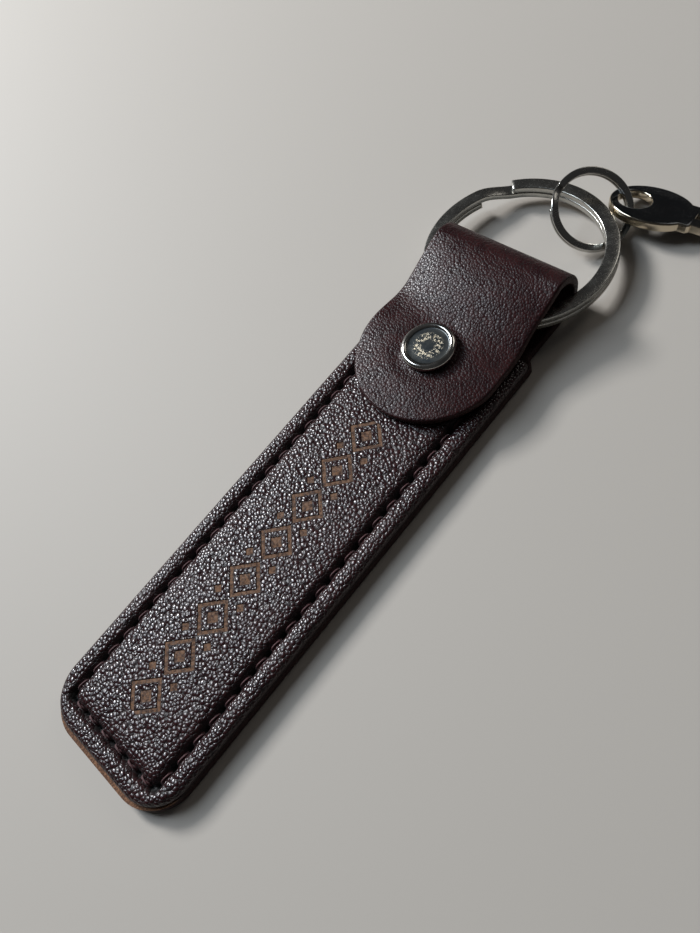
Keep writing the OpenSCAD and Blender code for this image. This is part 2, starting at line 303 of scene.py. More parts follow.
def makePebbleGroup():
    # leather grain: rounded pebbles with creases between them
    tree, given, out = newGroup("pebbleGrain", {
        "Vector": None, "Cells per metre": 1100.0, "Crease width": 0.22, "Wander": 0.14},
        ("Height", "Crease", "Patch"))
    scale = given["Cells per metre"]
    wander = addNode(tree, "ShaderNodeTexNoise",
                     {"Vector": given["Vector"], "Scale": times(tree, scale, 0.45), "Detail": 2.0})
    centred = addNode(tree, "ShaderNodeVectorMath",
                      {0: wander.outputs["Color"], 1: (0.5, 0.5, 0.5)}, operation="SUBTRACT")
    reach = calc(tree, "DIVIDE", times(tree, given["Wander"], 3.0), scale)
    shift = addNode(tree, "ShaderNodeVectorMath", {0: centred.outputs[0], "Scale": reach}, operation="SCALE")
    place = addNode(tree, "ShaderNodeVectorMath", {0: given["Vector"], 1: shift.outputs[0]}, operation="ADD")
    cells = addNode(tree, "ShaderNodeTexVoronoi", {"Vector": place.outputs[0], "Scale": scale})
    dome = minus(tree, 1.0, calc(tree, "POWER", cells.outputs["Distance"], 2.0))
    border = addNode(tree, "ShaderNodeTexVoronoi", {"Vector": place.outputs[0], "Scale": scale},
                     feature="DISTANCE_TO_EDGE")
    crease = spread(tree, border.outputs["Distance"], given["Crease width"], 0.0)
    patch = grainNoise(tree, given["Vector"], times(tree, scale, 0.16), 3.0)
    height = minus(tree, dome, times(tree, crease, 0.12))
    tree.links.new(height, out["Height"])
    tree.links.new(crease, out["Crease"])
    tree.links.new(spread(tree, patch, 0.35, 0.65), out["Patch"])
    return tree


def makeScratchGroup():
    # fine hairlines that run in two directions, and dull handling patches
    tree, given, out = newGroup("handlingMarks", {
        "Vector": None, "Lines per metre": 9000.0, "Stretch": 14.0}, ("Lines", "Dull", "Specks"))
    masks = []
    for angle in (0.5, 2.1):
        turned = addNode(tree, "ShaderNodeMapping",
                         {"Vector": given["Vector"], "Rotation": (0.2, 0.1, angle)})
        share = calc(tree, "DIVIDE", 1.0, given["Stretch"])
        thin = addNode(tree, "ShaderNodeCombineXYZ", {0: 1.0, 1: share, 2: 1.0})
        stretched = addNode(tree, "ShaderNodeVectorMath",
                            {0: turned.outputs[0], 1: thin.outputs[0]}, operation="MULTIPLY")
        lines = grainNoise(tree, stretched.outputs[0], given["Lines per metre"], 1.0)
        masks.append(spread(tree, lines, 0.6, 0.72))
    tree.links.new(calc(tree, "MAXIMUM", *masks), out["Lines"])
    dull = grainNoise(tree, given["Vector"], 420.0, 4.0, 0.6)
    tree.links.new(spread(tree, dull, 0.38, 0.66), out["Dull"])
    specks = grainNoise(tree, given["Vector"], 4200.0, 2.0, 0.7)
    tree.links.new(spread(tree, specks, 0.58, 0.68), out["Specks"])
    return tree


def makeBurnGroup():
    # burned ornament: a chain of ringed lozenges with a pair of small studs between them
    tree, given, out = newGroup("burnedChain", {
        "Across": 0.0, "Along": 0.0, "Pitch": 0.0072, "Half width": 0.0034, "Stroke": 0.00090,
        "Low end": -0.0425, "High end": 0.0151, "Softness": 0.00014}, ("Mask",))
    pitch, stroke, softness = given["Pitch"], given["Stroke"], given["Softness"]
    side = calc(tree, "ABSOLUTE", given["Across"])
    turns = calc(tree, "DIVIDE", minus(tree, given["Along"], given["Low end"]), pitch)
    part = minus(tree, calc(tree, "FRACT", turns), 0.5)
    along = calc(tree, "ABSOLUTE", times(tree, part, pitch))
    fromEnd = minus(tree, times(tree, pitch, 0.5), along)

    def below(distance, limit):
        return spread(tree, minus(tree, distance, limit), softness, times(tree, softness, -1.0))

    def shareOfHalf(share):
        return times(tree, given["Half width"], share)

    lozenge = plus(tree, side, along)
    fromRing = calc(tree, "ABSOLUTE", minus(tree, lozenge, shareOfHalf(0.88)))
    outer = below(fromRing, times(tree, stroke, 0.5))
    core = below(lozenge, shareOfHalf(0.36))
    beside = calc(tree, "ABSOLUTE", minus(tree, side, shareOfHalf(0.74)))
    stud = below(plus(tree, beside, fromEnd), times(tree, stroke, 0.9))
    marks = calc(tree, "MAXIMUM", calc(tree, "MAXIMUM", outer, core), stud)
    # the chain starts and ends on a lozenge, without studs
    inside = times(tree, calc(tree, "GREATER_THAN", minus(tree, given["Along"], stroke), given["Low end"]),
                   calc(tree, "LESS_THAN", plus(tree, given["Along"], stroke), given["High end"]))
    tree.links.new(times(tree, marks, inside), out["Mask"])
    return tree


def useGroup(tree, group, values):
    return addNode(tree, "ShaderNodeGroup", values, node_tree=group).outputs


def newMaterial(name):
    material = bpy.data.materials.new(name)
    material.use_nodes = True
    tree = material.node_tree
    return material, tree, tree.nodes["Principled BSDF"]


def objectPlace(tree):
    return addNode(tree, "ShaderNodeTexCoord").outputs["Object"]


def attributeOf(tree, name):
    return addNode(tree, "ShaderNodeAttribute", attribute_name=name)


def bump(tree, height, distance, strength=1.0, base=None):
    values = {"Height": height, "Distance": distance, "Strength": strength}
    if base is not None:
        values["Normal"] = base
    return addNode(tree, "ShaderNodeBump", values).outputs["Normal"]


pebbleGrain = makePebbleGroup()
handlingMarks = makeScratchGroup()
burnedChain = makeBurnGroup()
print("stage: shared effects ready")


leatherSet = {
    "front": {
        "deep": (0.0035, 0.0014, 0.0016), "face": (0.023, 0.0066, 0.0078), "warm": (0.033, 0.0088, 0.0095),
        "cells": 1650.0, "crease": 0.16, "rough": 0.21, "depth": 0.00020, "shine": 0.58,
    },
    "strip": {
        "deep": (0.0060, 0.0020, 0.0024), "face": (0.023, 0.0066, 0.0076), "warm": (0.036, 0.0092, 0.0096),
        "cells": 2300.0, "crease": 0.14, "rough": 0.25, "depth": 0.00008, "shine": 0.26,
    },
    "creaseShade": 0.75, "creaseRough": 0.22, "patchRough": 0.06,
    "cutEdge": (0.020, 0.0068, 0.0066), "fibre": (0.040, 0.014, 0.0125), "fibreCells": 5200.0,
    "fibreDepth": 0.00012, "hole": (0.0015, 0.001, 0.001),
    "burn": (0.19, 0.098, 0.052), "char": (0.045, 0.020, 0.012), "charCells": 2300.0,
    "burnRough": 0.55, "burnSink": 0.55, "burnSmooth": 0.75, "burnBorder": 3.2,
}


def makeLeather(name, tone, burned=False):
    # skin holds the flat place of the leather: across, along, depth
    s = leatherSet
    material, tree, shader = newMaterial(name)
    place = attributeOf(tree, "skin").outputs["Vector"]
    edge = attributeOf(tree, "cutEdge").outputs["Fac"]
    hole = attributeOf(tree, "pinch").outputs["Fac"]
    grain = useGroup(tree, pebbleGrain, {"Vector": place, "Cells per metre": tone["cells"],
                                         "Crease width": tone["crease"]})
    color = mixColor(tree, grain["Patch"], tone["face"], tone["warm"])
    # the creases between the pebbles are darkened: painted shade
    color = mixColor(tree, times(tree, grain["Crease"], s["creaseShade"]), color, tone["deep"])
    height = grain["Height"]
    rough = plus(tree, tone["rough"], times(tree, grain["Crease"], s["creaseRough"]))
    rough = plus(tree, rough, times(tree, grain["Patch"], s["patchRough"]))
    if burned:
        parts = addNode(tree, "ShaderNodeSeparateXYZ", {0: place}).outputs
        mask = useGroup(tree, burnedChain, {"Across": parts["X"], "Along": parts["Y"]})["Mask"]
        # scorched tan floor, mottled, with a darker line at its border
        char = spread(tree, grainNoise(tree, place, s["charCells"], 4.0, 0.65), 0.36, 0.62)
        color = mixColor(tree, mask, color, mixColor(tree, char, s["char"], s["burn"]))
        border = times(tree, times(tree, mask, minus(tree, 1.0, mask)), s["burnBorder"])
        color = mixColor(tree, border, color, tone["deep"])
        rough = plus(tree, rough, times(tree, mask, s["burnRough"]), clamp=True)
        height = times(tree, height, minus(tree, 1.0, times(tree, mask, s["burnSmooth"])))
        height = minus(tree, height, times(tree, mask, s["burnSink"]))
    fibre = grainNoise(tree, place, s["fibreCells"], 3.0, 0.65)
    color = mixColor(tree, edge, color, mixColor(tree, fibre, s["cutEdge"], s["fibre"]))
    # the needle holes are painted near black: painted shade inside them
    color = mixColor(tree, times(tree, hole, 1.5, clamp=True), color, s["hole"])
    rough = plus(tree, rough, times(tree, edge, 0.2))
    rough = plus(tree, rough, times(tree, hole, 0.6), clamp=True)
    normal = bump(tree, height, tone["depth"], 0.9)
    normal = bump(tree, times(tree, fibre, edge), s["fibreDepth"], 0.8, normal)
    setInputs(tree, shader, {"Base Color": color, "Roughness": rough, "Normal": normal,
                             "Specular IOR Level": tone["shine"]})
    return material


metalSet = {
    "ring": {"clean": (0.50, 0.49, 0.455), "dirty": (0.21, 0.20, 0.18), "rough": 0.2, "edge": None},
    "smallRing": {"clean": (0.50, 0.49, 0.46), "dirty": (0.22, 0.20, 0.18), "rough": 0.15, "edge": None},
    # the key's edge tone is a warm painted reflection for its bevelled rim
    "key": {"clean": (0.15, 0.158, 0.168), "dirty": (0.09, 0.088, 0.080), "rough": 0.09,
            "edge": (0.58, 0.50, 0.38)},
    "snap": {"clean": (0.64, 0.63, 0.60), "dirty": (0.22, 0.20, 0.17), "rough": 0.22, "edge": None},
    "spring": {"clean": (0.46, 0.45, 0.43), "dirty": (0.16, 0.15, 0.13), "rough": 0.3, "edge": None},
}
wearSet = {"dull": 0.22, "specks": 0.2, "dullRough": 0.07, "lineRough": 0.08, "lineDepth": 0.000004}


def makeMetal(name, tone):
    wear = wearSet
    material, tree, shader = newMaterial(name)
    marks = useGroup(tree, handlingMarks, {"Vector": objectPlace(tree)})
    color = mixColor(tree, times(tree, marks["Dull"], wear["dull"]), tone["clean"], tone["dirty"])
    color = mixColor(tree, times(tree, marks["Specks"], wear["specks"]), color, tone["dirty"])
    if tone["edge"]:
        # warm painted reflection on the key's bevelled rim and sides
        color = mixColor(tree, attributeOf(tree, "rimGlint").outputs["Fac"], color, tone["edge"])
    rough = plus(tree, tone["rough"], times(tree, marks["Dull"], wear["dullRough"]))
    rough = plus(tree, rough, times(tree, marks["Lines"], wear["lineRough"]), clamp=True)
    normal = bump(tree, marks["Lines"], wear["lineDepth"], 0.4)
    setInputs(tree, shader, {"Base Color": color, "Roughness": rough, "Normal": normal, "Metallic": 1.0})
    return material


capLook = {
    "centre": (0.0, 0.0282), "disc": 0.00345, "discEdge": 0.0001, "specks": (0.0008, 0.0027),
    "speckFade": 0.0006, "speckCells": 2300.0, "depth": 0.000025,
    "rim": (0.66, 0.64, 0.60), "face": (0.060, 0.070, 0.078), "dull": (0.17, 0.17, 0.155),
    "wornFace": (0.55, 0.48, 0.36), "rough": 0.16, "discRough": 0.20, "wornRough": 0.12,
}


def makeCapMetal():
    s = capLook
    material, tree, shader = newMaterial("snapCapNickel")
    place = objectPlace(tree)
    parts = addNode(tree, "ShaderNodeSeparateXYZ", {0: place}).outputs
    across = minus(tree, parts["X"], s["centre"][0])
    along = minus(tree, parts["Y"], s["centre"][1])
    radius = calc(tree, "SQRT", plus(tree, times(tree, across, across), times(tree, along, along)))
    disc = spread(tree, radius, s["disc"] + s["discEdge"], s["disc"] - s["discEdge"])
    marks = useGroup(tree, handlingMarks, {"Vector": place})
    low, high = s["specks"]
    band = times(tree, spread(tree, radius, low, low + s["speckFade"]),
                 spread(tree, radius, high, high - s["speckFade"]))
    chips = spread(tree, grainNoise(tree, place, s["speckCells"], 5.0, 0.75), 0.50, 0.60)
    worn = times(tree, times(tree, band, chips), disc)
    color = mixColor(tree, disc, s["rim"], s["face"])
    color = mixColor(tree, times(tree, marks["Dull"], 0.5), color, s["dull"])
    color = mixColor(tree, worn, color, s["wornFace"])
    rough = plus(tree, s["rough"], times(tree, disc, s["discRough"]))
    rough = plus(tree, rough, times(tree, worn, s["wornRough"]), clamp=True)
    height = minus(tree, times(tree, times(tree, marks["Lines"], disc), 0.2), worn)
    normal = bump(tree, height, s["depth"], 0.5)
    setInputs(tree, shader, {"Base Color": color, "Roughness": rough, "Normal": normal, "Metallic": 1.0})
    return material


threadLook = {"face": (0.110, 0.026, 0.030), "shade": (0.030, 0.008, 0.009), "fuzz": 6500.0, "depth": 0.00006,
              "rough": 0.62, "sheen": 0.25}


def makeThread():
    material, tree, shader = newMaterial("waxedThread")
    fuzz = grainNoise(tree, objectPlace(tree), threadLook["fuzz"], 3.0, 0.6)
    color = mixColor(tree, spread(tree, fuzz, 0.35, 0.65), threadLook["shade"], threadLook["face"])
    setInputs(tree, shader, {"Base Color": color, "Normal": bump(tree, fuzz, threadLook["depth"], 0.8),
                             "Roughness": threadLook["rough"], "Sheen Weight": threadLook["sheen"]})
    return material


boardLook = {"flecks": 3800.0, "clouds": 500.0, "dark": (0.085, 0.038, 0.020), "tan": (0.36, 0.18, 0.092),
             "cloud": (0.11, 0.045, 0.026), "paint": (0.018, 0.0065, 0.0062), "paintFrom": (-0.0465, -0.0450),
             "depth": 0.0001, "rough": 0.85}


def makeBoard():
    # raw fibre board: tan, flecked and dry
    s = boardLook
    material, tree, shader = newMaterial("tanBoard")
    place = objectPlace(tree)
    fleck = spread(tree, grainNoise(tree, place, s["flecks"], 4.0, 0.7), 0.36, 0.64)
    cloud = grainNoise(tree, place, s["clouds"], 2.0)
    color = mixColor(tree, fleck, s["dark"], s["tan"])
    color = mixColor(tree, times(tree, cloud, 0.5), color, s["cloud"])
    # the long sides are stained dark with the leather's edge paint
    along = addNode(tree, "ShaderNodeSeparateXYZ", {0: place}).outputs["Y"]
    color = mixColor(tree, spread(tree, along, *s["paintFrom"]), color, s["paint"])
    setInputs(tree, shader, {"Base Color": color, "Normal": bump(tree, fleck, s["depth"], 0.7),
                             "Roughness": s["rough"]})
    return material


frontLeather = makeLeather("pebbledFrontLeather", leatherSet["front"], burned=True)
stripLeather = makeLeather("smoothStripLeather", leatherSet["strip"])
ringMetal = makeMetal("wornNickel", metalSet["ring"])
smallRingMetal = makeMetal("brightNickel", metalSet["smallRing"])
keyMetal = makeMetal("keyNickel", metalSet["key"])
snapMetal = makeMetal("snapNickel", metalSet["snap"])
springMetal = makeMetal("springSteel", metalSet["spring"])
capMetal = makeCapMetal()
thread = makeThread()
board = makeBoard()
print("stage: materials ready")


panelSet = {
    "low": -50.1, "high": 35.58, "half": 13.5, "corner": 6.6, "topCorner": 1.0,
    "seamSide": 3.3, "seamLow": 3.3, "seamHigh": 2.0, "seamCorner": 1.6,
    "pitch": 3.3, "threadEnd": 0.6, "holeLong": 0.86, "holeWide": 0.44, "holeDeep": 0.85, "holeReach": 2.5,
    "crownAt": 2.6, "crownCorner": 0.02, "crown": 3.70, "crownRise": 0.09, "under": 2.0,
    "sideCount": 290, "endCount": 64,
    "snap": (0.0, 28.2), "seat": 4.45, "seatHeight": 2.98, "seatReach": 6,
    # (share of the way, height) from the tucked edge over the rim into the seam, then up to the crown
    "rim": [(0.10, 2.0), (0.02, 2.12), (-0.005, 2.4), (0.0, 2.68), (0.03, 2.92), (0.08, 3.12), (0.15, 3.28),
            (0.24, 3.38), (0.36, 3.43), (0.48, 3.44), (0.60, 3.40), (0.70, 3.32), (0.79, 3.18), (0.86, 3.0),
            (0.92, 2.84), (0.97, 2.71), (1.0, 2.66)],
    "rise": [(0.03, 2.72), (0.08, 2.86), (0.13, 3.02), (0.20, 3.2), (0.28, 3.34), (0.40, 3.48),
             (0.55, 3.58), (0.75, 3.65), (1.0, 3.70)],
    # (height of the wave, waves per millimetre, seed) of the leather's slow unevenness
    "waves": [(0.05, 0.22, 3.1), (0.03, 0.7, 8.4)],
}


def fourEdges(xHalf, low, high, cornerLow, cornerHigh, sideCount, endCount):
    # outline of a rounded rectangle as four edges that meet in its corners' middles
    def arc(cx, cy, r, a0, a1):
        return [onArc(cx, cy, r, a0 + (a1 - a0) * i / 12) for i in range(13)]
    rl, rh = cornerLow, cornerHigh
    xl, xh, yl, yh = xHalf - rl, xHalf - rh, low + rl, high - rh
    right = arc(xl, yl, rl, -45, 0) + arc(xh, yh, rh, 0, 45)
    left = [(-x, y) for x, y in right]
    bottom = arc(-xl, yl, rl, 225, 270) + arc(xl, yl, rl, -90, -45)
    top = [(-x, y) for x, y in arc(xh, yh, rh, 45, 90)] + arc(xh, yh, rh, 90, 45)
    return (resample(bottom, endCount), resample(top, endCount),
            resample(left, sideCount), resample(right, sideCount))


def ringOf(edges):
    bottom, top, left, right = edges
    return bottom[:-1] + right[:-1] + top[::-1][:-1] + left[::-1][:-1]


def seamHoles():
    s = panelSet
    x = s["half"] - s["seamSide"]
    low, high = s["low"] + s["seamLow"], s["high"] - s["seamHigh"]
    rows = [((side * x, low + s["threadEnd"]), (side * x, high - s["threadEnd"])) for side in (-1, 1)]
    rows += [((-x + s["threadEnd"], y), (x - s["threadEnd"], y)) for y in (low, high)]
    holes, stitches = [], []
    for a, b in rows:
        run = math.dist(a, b)
        count = round(run / s["pitch"])
        direction = ((b[0] - a[0]) / run, (b[1] - a[1]) / run)
        places = [(mix(a[0], b[0], i / count), mix(a[1], b[1], i / count)) for i in range(count + 1)]
        holes += [(p, direction) for p in places]
        stitches += list(zip(places, places[1:]))
    return holes, stitches


holeList, stitchList = seamHoles()


def pinchAt(x, y):
    # 1 in a needle hole, 0 away from it
    s = panelSet
    most = 0.0
    for (hx, hy), (dx, dy) in holeList:
        if max(abs(x - hx), abs(y - hy)) > s["holeReach"]:
            continue
        along = (x - hx) * dx + (y - hy) * dy
        across = (y - hy) * dx - (x - hx) * dy
        most = max(most, math.exp(-((along / s["holeLong"]) ** 2 + (across / s["holeWide"]) ** 2)))
    return most


def makeFrontPanel():
    s = panelSet
    ns, ne = s["sideCount"], s["endCount"]
    half, low, high = s["half"] - s["seamSide"], s["low"] + s["seamLow"], s["high"] - s["seamHigh"]
    outer = ringOf(fourEdges(s["half"], s["low"], s["high"], s["corner"], s["topCorner"], ns, ne))
    seam = ringOf(fourEdges(half, low, high, s["seamCorner"], s["topCorner"], ns, ne))
    inset, corner = s["crownAt"], s["crownCorner"]
    innerEdges = fourEdges(half - inset, low + inset, high - inset, corner, corner, ns, ne)
    inner = ringOf(innerEdges)
    count = len(outer)
    points, edge, rings = [], [], []
    for profile, start, end in ((s["rim"], outer, seam), (s["rise"], seam, inner)):
        for share, z in profile:
            rings.append(len(points))
            points += [(mix(a[0], b[0], share), mix(a[1], b[1], share), z) for a, b in zip(start, end)]
            # the cut edge shows only low on the outside
            cut = soft((3.0 - z) / 0.5) if start is outer and share < 0.12 else 0.0
            edge += [cut] * count
    faces = []
    for a, b in zip(rings, rings[1:]):
        faces += [(a + i, a + (i + 1) % count, b + (i + 1) % count, b + i) for i in range(count)]
    # the middle, filled between the four inner edges
    grid = coonsGrid(*innerEdges)
    faces += gridFaces(rings[-1], len(points), ne, ns)
    for j in range(1, ns):
        for i in range(1, ne):
            side = 1 - abs(2 * i / ne - 1)
            rise = s["crownRise"] * soft(side * 1.6) * soft(min(j, ns - j) / 30)
            points.append((*grid[j][i], s["crown"] + rise))
            edge.append(0.0)
    # flat underside
    faces.append(tuple(reversed(range(rings[0], rings[0] + count))))
    pinch, skin, moved = [], [], []
    for x, y, z in points:
        p = pinchAt(x, y) if z > 2.3 else 0.0
        lift = sum(tall * noise.noise(Vector((x * often, y * often, seed)))
                   for tall, often, seed in s["waves"])
        toSnap = math.hypot(x - s["snap"][0], y - s["snap"][1])
        if z > 2.5:
            z = z - s["holeDeep"] * p * soft((z - 2.0) / 0.6) + lift * soft((z - 2.6) / 0.6)
        # a round seat for the snap's stud
        if z > 2.5 and toSnap < s["seatReach"]:
            z = mix(s["seatHeight"], z, soft((toSnap - s["seat"]) / 0.7))
        moved.append((x, y, max(z, s["under"])))
        pinch.append(p)
        skin.append((x * mm, y * mm, z * mm * 0.5))
    panel = buildMesh("paddedFront", moved, faces, frontLeather,
                      {"skin": skin, "cutEdge": edge, "pinch": pinch})
    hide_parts("front_leather", "foam_pad")
    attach(panel, "fob")


makeFrontPanel()
print("stage: padded front ready")


stripSet = {
    "thick": 1.5, "low": -51.0, "half": 13.5, "corner": 7.0, "neckStart": 35.58, "neckLong": 2.2,
    "strapHalf": 12.0, "foldAt": 46.3, "foldRadius": 4.7, "flapRadius": 12.5, "snapAt": 28.2,
    "edgeRound": 0.38, "sideCount": 300, "endCount": 56,
    "rivet": 4.62, "rivetDeep": 0.42, "channelHalf": 0.62, "channelDeep": 0.43,
    "dimple": 0.16, "dimpleAt": 5.0, "wave": 0.05, "innerFibre": 0.75,
    # (place, height) of the flap's upper face along its middle and its two edges
    "middle": [(15.7, 5.38), (17.5, 5.62), (20, 6.0), (22, 6.25), (24, 6.37), (28.2, 6.38),
               (32.4, 6.40), (34.4, 6.72), (36.4, 7.26), (38.4, 7.92), (40.5, 8.58), (42.5, 9.02),
               (44.5, 9.30), (46.3, 9.40)],
    "leftEdge": [(15.7, 5.35), (20, 5.22), (23, 5.45), (26, 5.95), (29.6, 6.2), (32.2, 5.95), (34.5, 5.72),
                 (36.4, 5.95), (38.4, 6.7), (40.5, 7.55), (42.6, 8.3), (44.6, 8.95), (46.3, 9.40)],
    "rightEdge": [(15.7, 5.35), (20, 5.22), (23, 5.35), (26, 5.6), (29.6, 5.72), (32.2, 5.6), (34.5, 5.7),
                  (36.4, 6.15), (38.4, 6.75), (40.5, 7.3), (42.6, 7.95), (44.6, 8.75), (46.3, 9.40)],
}


def channelDepth(x, y):
    # groove that the lower thread lies in, under the seam
    q = panelSet
    seamX, seamLow, seamHigh = q["half"] - q["seamSide"], q["low"] + q["seamLow"], q["high"] - q["seamHigh"]
    gaps = []
    if seamLow - 0.3 < y < seamHigh + 0.3:
        gaps.append(abs(abs(x) - seamX))
    if abs(x) < seamX + 0.3:
        gaps += [abs(y - seamLow), abs(y - seamHigh)]
    gap = min(gaps, default=9)
    return stripSet["channelDeep"] * soft((stripSet["channelHalf"] - gap) / 0.4)


def makeStrip():
    s = stripSet
    thick, radius, foldY = s["thick"], s["foldRadius"], s["foldAt"]
    middle, leftEdge, rightEdge = (smoothThrough(s[k]) for k in ("middle", "leftEdge", "rightEdge"))
    flatLong = foldY - s["low"]
    foldLong = math.pi * (radius - thick / 2)

    def topOf(x, y):
        side = leftEdge(y) if x < 0 else rightEdge(y)
        share = min(1.0, abs(x) / s["strapHalf"]) ** 2.3
        z = mix(middle(y), side, share)
        toSnap = math.hypot(x, y - s["snapAt"])
        z -= s["dimple"] * math.exp(-((toSnap - s["dimpleAt"]) / 1.3) ** 2) * soft((toSnap - 4.2) / 0.6)
        return z + s["wave"] * noise.noise(Vector((x * 0.3, y * 0.3, 1.7)))

    # along the flap, arc length turned into places on Y
    table, y, run = [(0.0, foldY)], foldY, 0.0
    while y > s["snapAt"] - s["flapRadius"] - 1:
        y2 = y - 0.1
        run += math.hypot(0.1, middle(y) - middle(y2))
        table.append((run, y2))
        y = y2
    flapY = smoothThrough(table[::3] + [table[-1]])
    yRun = smoothThrough(sorted((b, a) for a, b in table[::3] + [table[-1]]))

    def onSkin(x, along, depth):
        # depth 0 is the grain side, which faces down on the back and up on the flap
        if along <= flatLong:
            return (x, s["low"] + along, depth)
        if along <= flatLong + foldLong:
            a = (along - flatLong) / (radius - thick / 2) - math.pi / 2
            r = radius - depth
            return (x, foldY + r * math.cos(a), radius + r * math.sin(a))
        y = flapY(along - flatLong - foldLong)
        z = topOf(x, y)
        slopeX = (topOf(x + 0.2, y) - topOf(x - 0.2, y)) / 0.4
        slopeY = (topOf(x, min(y + 0.2, foldY)) - topOf(x, y - 0.2)) / (min(0.2, foldY - y) + 0.2)
        slopeY *= soft((foldY - y) / 1.5)
        long = math.sqrt(1 + slopeX ** 2 + slopeY ** 2)
        return (x + slopeX / long * depth, y + slopeY / long * depth, z - depth / long)

    # outline laid flat: across and along
    snapRun = flatLong + foldLong + yRun(s["snapAt"])
    flareRun = snapRun - s["flapRadius"]
    neckRun = s["neckStart"] - s["low"]
    half, corner, tipRadius, strapHalf = s["half"], s["corner"], s["flapRadius"], s["strapHalf"]
    right = [onArc(half - corner, corner, corner, a) for a in range(-45, 1, 5)] + [(half, neckRun)]
    right += [(mix(half, strapHalf, soft(i / 8)), neckRun + s["neckLong"] * i / 8) for i in range(1, 9)]
    right += [(strapHalf, flareRun)]
    right += [(mix(strapHalf, tipRadius, soft(i / 10)), flareRun + tipRadius * i / 10) for i in range(1, 10)]
    right += [onArc(0, snapRun, tipRadius, a) for a in range(0, 46, 5)]
    bottom = [onArc(corner - half, corner, corner, a) for a in range(225, 271, 5)]
    bottom += [(-x, y) for x, y in bottom[::-1]]
    tip = [onArc(0, snapRun, tipRadius, a) for a in range(135, 44, -3)]
    ns, ne = s["sideCount"], s["endCount"]
    rightEdgeLine = resample(right, ns)
    leftEdgeLine = [(-x, y) for x, y in rightEdgeLine]
    rim = ringOf((resample(bottom, ne), resample(tip, ne), leftEdgeLine, rightEdgeLine))
    count = len(rim)
    inward = []
    for i in range(count):
        (ax, ay), (bx, by) = rim[i - 1], rim[(i + 1) % count]
        d = math.hypot(bx - ax, by - ay)
        inward.append((-(by - ay) / d, (bx - ax) / d))

    def shrunk(k):
        return [(x + nx * k, y + ny * k) for (x, y), (nx, ny) in zip(rim, inward)]

    r = s["edgeRound"]
    # rounded cut edge, from the inner side over to the grain side
    profile = [(r + 0.5, thick), (r, thick)]
    profile += [(r - r * math.sin(math.radians(a)), thick - r + r * math.cos(math.radians(a)))
                for a in (25, 50, 75, 90)]
    profile += [(0.0, thick * 0.5)]
    profile += [(r - r * math.cos(math.radians(a)), r - r * math.sin(math.radians(a)))
                for a in (0, 20, 42, 66)]
    profile += [(r, 0.0), (r + 0.35, 0.0), (r + 1.0, 0.0)]
    flat, edge, starts = [], [], []
    for k, depth in profile:
        starts.append(len(flat))
        for x, a in shrunk(k):
            flat.append((x, a, depth))
            edge.append(soft((depth - 0.12) / 0.2) * (1.0 if depth < thick - 0.02 else s["innerFibre"]))
    faces = []
    for a, b in zip(starts, starts[1:]):
        faces += [(a + i, b + i, b + (i + 1) % count, a + (i + 1) % count) for i in range(count)]

    def fill(first, depth, flip):
        ring = [p[:2] for p in flat[first:first + count]]
        bottomE = ring[:ne + 1]
        rightE = ring[ne:ne + ns + 1]
        topE = ring[ne + ns:2 * ne + ns + 1][::-1]
        leftE = (ring[2 * ne + ns:] + [ring[0]])[::-1]
        grid = coonsGrid(bottomE, topE, leftE, rightE)
        faces.extend(quad[::-1] if flip else quad for quad in gridFaces(first, len(flat), ne, ns))
        for j in range(1, ns):
            for i in range(1, ne):
                flat.append((*grid[j][i], depth))
                edge.append(s["innerFibre"] if depth else 0.0)
    fill(starts[0], thick, False)
    fill(starts[-1], 0.0, True)
    points, skin = [], []
    for x, along, depth in flat:
        lift = 0.0
        if depth < 0.3 and along < flatLong:
            # seat of the rivet and channel of the lower thread
            y = s["low"] + along
            toRivet = math.hypot(x, y - s["snapAt"])
            lift = s["rivetDeep"] * soft((s["rivet"] + 0.35 - toRivet) / 0.3)
            lift = max(lift, channelDepth(x, y))
        points.append(onSkin(x, along, max(depth, lift)))
        skin.append((x * mm, (s["low"] + along) * mm, depth * mm))
    strip = buildMesh("leatherStrip", points, faces, stripLeather,
                      {"skin": skin, "cutEdge": edge, "pinch": [0.0] * len(points)})
    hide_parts("back_leather", "flap_leather")
    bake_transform(strip)


makeStrip()
print("stage: leather strip ready")


stitchSet = {
    "needle": {"node": "needle_stitches", "slot": "needle_thread", "height": 2.86, "dip": 0.62,
               "thick": 0.50, "twist": 3.4, "shorten": 0.62},
    "bobbin": {"node": "bobbin_stitches", "slot": "bobbin_thread", "height": 0.21, "dip": -0.12,
               "thick": 0.30, "twist": 5.0, "shorten": 0.34},
}
wobbleSet = {"wide": 0.05, "turn": 2.3}


